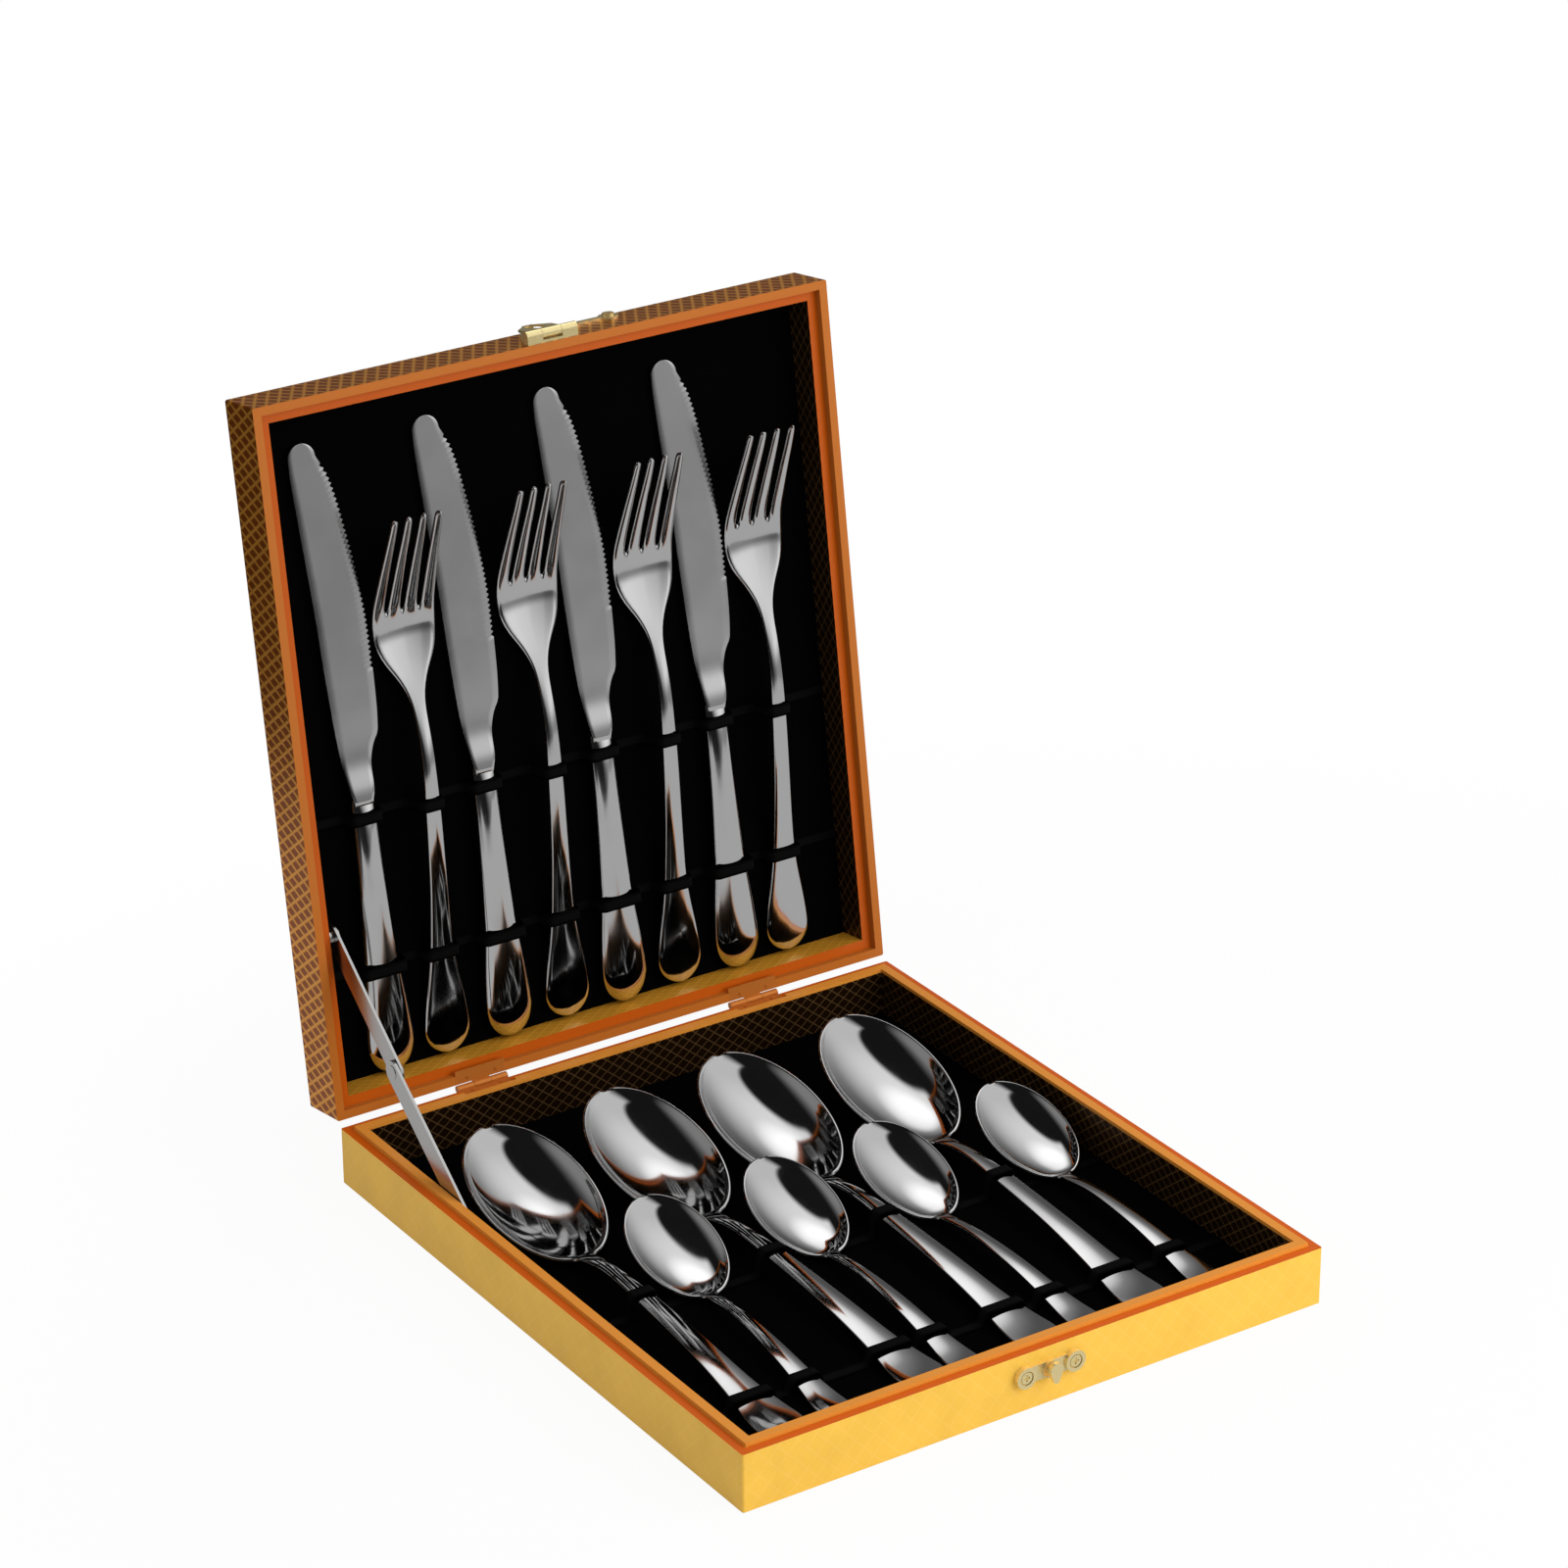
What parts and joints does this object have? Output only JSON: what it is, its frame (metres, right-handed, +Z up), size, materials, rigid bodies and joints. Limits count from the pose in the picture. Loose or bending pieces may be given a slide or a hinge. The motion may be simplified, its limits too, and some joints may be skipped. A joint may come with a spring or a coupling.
{
  "type": "silverware chest",
  "caption": "Shallow hinged silverware chest in embossed gold leatherette with a folding lid stay, a turn-knob clasp and flatware held under elastic bands.",
  "frame": {"origin": "centre of the flat underside of the base", "axes": "+Z up; +Y from the clasp at the front to the hinges; +X to the right seen from the front"},
  "size_m": [0.24, 0.3324, 0.2916],
  "materials": {
    "gold_leatherette": "embossed, semi-gloss",
    "brown_leatherette": "embossed lattice, semi-gloss",
    "black_flock": "matt",
    "elastic": "matt woven",
    "polished_steel": "mirror polish",
    "stay_steel": "satin",
    "brass": "polished"
  },
  "bodies": {
    "base": {"base_front_wall": "gold_leatherette", "base_back_wall": "gold_leatherette", "base_left_wall": "gold_leatherette", "base_right_wall": "gold_leatherette", "base_bottom_board": "gold_leatherette", "base_liner_front": "brown_leatherette", "base_liner_back": "brown_leatherette", "base_liner_left": "brown_leatherette", "base_liner_right": "brown_leatherette", "base_insert": "black_flock", "base_band_lower": "elastic", "base_band_upper": "elastic", "catch_plate": "brass", "catch_screws": "brass", "base_hinge_leaf_left": "brass", "base_hinge_leaf_right": "brass", "base_hinge_screws": "brass", "hinge_pins": "brass", "base_stay_screw": "stay_steel"},
    "lid": {"lid_front_wall": "gold_leatherette", "lid_back_wall": "gold_leatherette", "lid_left_wall": "gold_leatherette", "lid_right_wall": "gold_leatherette", "lid_top_board": "gold_leatherette", "lid_liner_front": "brown_leatherette", "lid_liner_back": "brown_leatherette", "lid_liner_left": "brown_leatherette", "lid_liner_right": "brown_leatherette", "lid_insert": "black_flock", "lid_band_lower": "elastic", "lid_band_upper": "elastic", "hasp_plate": "brass", "hasp_screws": "brass", "hasp_pin": "brass", "lid_hinge_leaf_left": "brass", "lid_hinge_leaf_right": "brass", "lid_hinge_screws": "brass", "lid_stay_screw": "stay_steel"},
    "stay_lower": {"stay_lower_link": "stay_steel", "stay_rivet_lower": "stay_steel"},
    "stay_upper": {"stay_upper_link": "stay_steel", "stay_rivet_upper": "stay_steel"},
    "flap": {"hasp_flap": "brass"},
    "knob": {"catch_knob": "brass"},
    "dinner_spoon_1": {"dinner_spoon_1": "polished_steel"},
    "dinner_spoon_2": {"dinner_spoon_2": "polished_steel"},
    "dinner_spoon_3": {"dinner_spoon_3": "polished_steel"},
    "dinner_spoon_4": {"dinner_spoon_4": "polished_steel"},
    "teaspoon_1": {"teaspoon_1": "polished_steel"},
    "teaspoon_2": {"teaspoon_2": "polished_steel"},
    "teaspoon_3": {"teaspoon_3": "polished_steel"},
    "teaspoon_4": {"teaspoon_4": "polished_steel"},
    "table_knife_1": {"table_knife_1": "polished_steel"},
    "table_knife_2": {"table_knife_2": "polished_steel"},
    "table_knife_3": {"table_knife_3": "polished_steel"},
    "table_knife_4": {"table_knife_4": "polished_steel"},
    "table_fork_1": {"table_fork_1": "polished_steel"},
    "table_fork_2": {"table_fork_2": "polished_steel"},
    "table_fork_3": {"table_fork_3": "polished_steel"},
    "table_fork_4": {"table_fork_4": "polished_steel"}
  },
  "joints": [
    {"name": "lid_hinge", "type": "hinge", "parent": "base", "child": "lid", "pos_m": [0, 0.1347, 0.02215], "axis": [-1, 0, 0], "range_deg": [-98.4, 0]},
    {"name": "stay_lower_pivot", "type": "hinge", "parent": "base", "child": "stay_lower", "pos_m": [-0.112, 0.05475, 0.0143], "axis": [-1, 0, 0], "range_deg": [0, 39.42]},
    {"name": "stay_upper_pivot", "type": "hinge", "parent": "lid", "child": "stay_upper", "pos_m": [-0.1106, 0.15014, 0.09005], "axis": [-1, 0, 0], "range_deg": [-27.12, 0]},
    {"name": "flap_hinge", "type": "hinge", "parent": "lid", "child": "flap", "pos_m": [0.0025, 0.1767, 0.28979], "axis": [-1, 0, 0], "range_deg": [-183, 0]},
    {"name": "knob_turn", "type": "hinge", "parent": "base", "child": "knob", "pos_m": [0.0025, -0.136, 0.0137], "axis": [0, -1, 0], "range_deg": [-90, 0]},
    {"name": "dinner_spoon_1_lift", "type": "slide", "parent": "base", "child": "dinner_spoon_1", "axis": [0, 0, 1], "range_m": [0, 0.03], "deforming": ["base_band_lower", "base_band_upper"]},
    {"name": "dinner_spoon_2_lift", "type": "slide", "parent": "base", "child": "dinner_spoon_2", "axis": [0, 0, 1], "range_m": [0, 0.03]},
    {"name": "dinner_spoon_3_lift", "type": "slide", "parent": "base", "child": "dinner_spoon_3", "axis": [0, 0, 1], "range_m": [0, 0.03]},
    {"name": "dinner_spoon_4_lift", "type": "slide", "parent": "base", "child": "dinner_spoon_4", "axis": [0, 0, 1], "range_m": [0, 0.03]},
    {"name": "teaspoon_1_lift", "type": "slide", "parent": "base", "child": "teaspoon_1", "axis": [0, 0, 1], "range_m": [0, 0.03]},
    {"name": "teaspoon_2_lift", "type": "slide", "parent": "base", "child": "teaspoon_2", "axis": [0, 0, 1], "range_m": [0, 0.03]},
    {"name": "teaspoon_3_lift", "type": "slide", "parent": "base", "child": "teaspoon_3", "axis": [0, 0, 1], "range_m": [0, 0.03]},
    {"name": "teaspoon_4_lift", "type": "slide", "parent": "base", "child": "teaspoon_4", "axis": [0, 0, 1], "range_m": [0, 0.03]},
    {"name": "table_knife_1_lift", "type": "slide", "parent": "lid", "child": "table_knife_1", "axis": [0, -0.9893, 0.1461], "range_m": [0, 0.03], "deforming": ["lid_band_lower", "lid_band_upper"]},
    {"name": "table_knife_2_lift", "type": "slide", "parent": "lid", "child": "table_knife_2", "axis": [0, -0.9893, 0.1461], "range_m": [0, 0.03]},
    {"name": "table_knife_3_lift", "type": "slide", "parent": "lid", "child": "table_knife_3", "axis": [0, -0.9893, 0.1461], "range_m": [0, 0.03]},
    {"name": "table_knife_4_lift", "type": "slide", "parent": "lid", "child": "table_knife_4", "axis": [0, -0.9893, 0.1461], "range_m": [0, 0.03]},
    {"name": "table_fork_1_lift", "type": "slide", "parent": "lid", "child": "table_fork_1", "axis": [0, -0.9893, 0.1461], "range_m": [0, 0.03]},
    {"name": "table_fork_2_lift", "type": "slide", "parent": "lid", "child": "table_fork_2", "axis": [0, -0.9893, 0.1461], "range_m": [0, 0.03]},
    {"name": "table_fork_3_lift", "type": "slide", "parent": "lid", "child": "table_fork_3", "axis": [0, -0.9893, 0.1461], "range_m": [0, 0.03]},
    {"name": "table_fork_4_lift", "type": "slide", "parent": "lid", "child": "table_fork_4", "axis": [0, -0.9893, 0.1461], "range_m": [0, 0.03]}
  ],
  "couplings": [
    {"joint": "stay_lower_pivot", "follows": "lid_hinge", "ratio": -0.4006},
    {"joint": "stay_upper_pivot", "follows": "lid_hinge", "ratio": 0.27552}
  ]
}
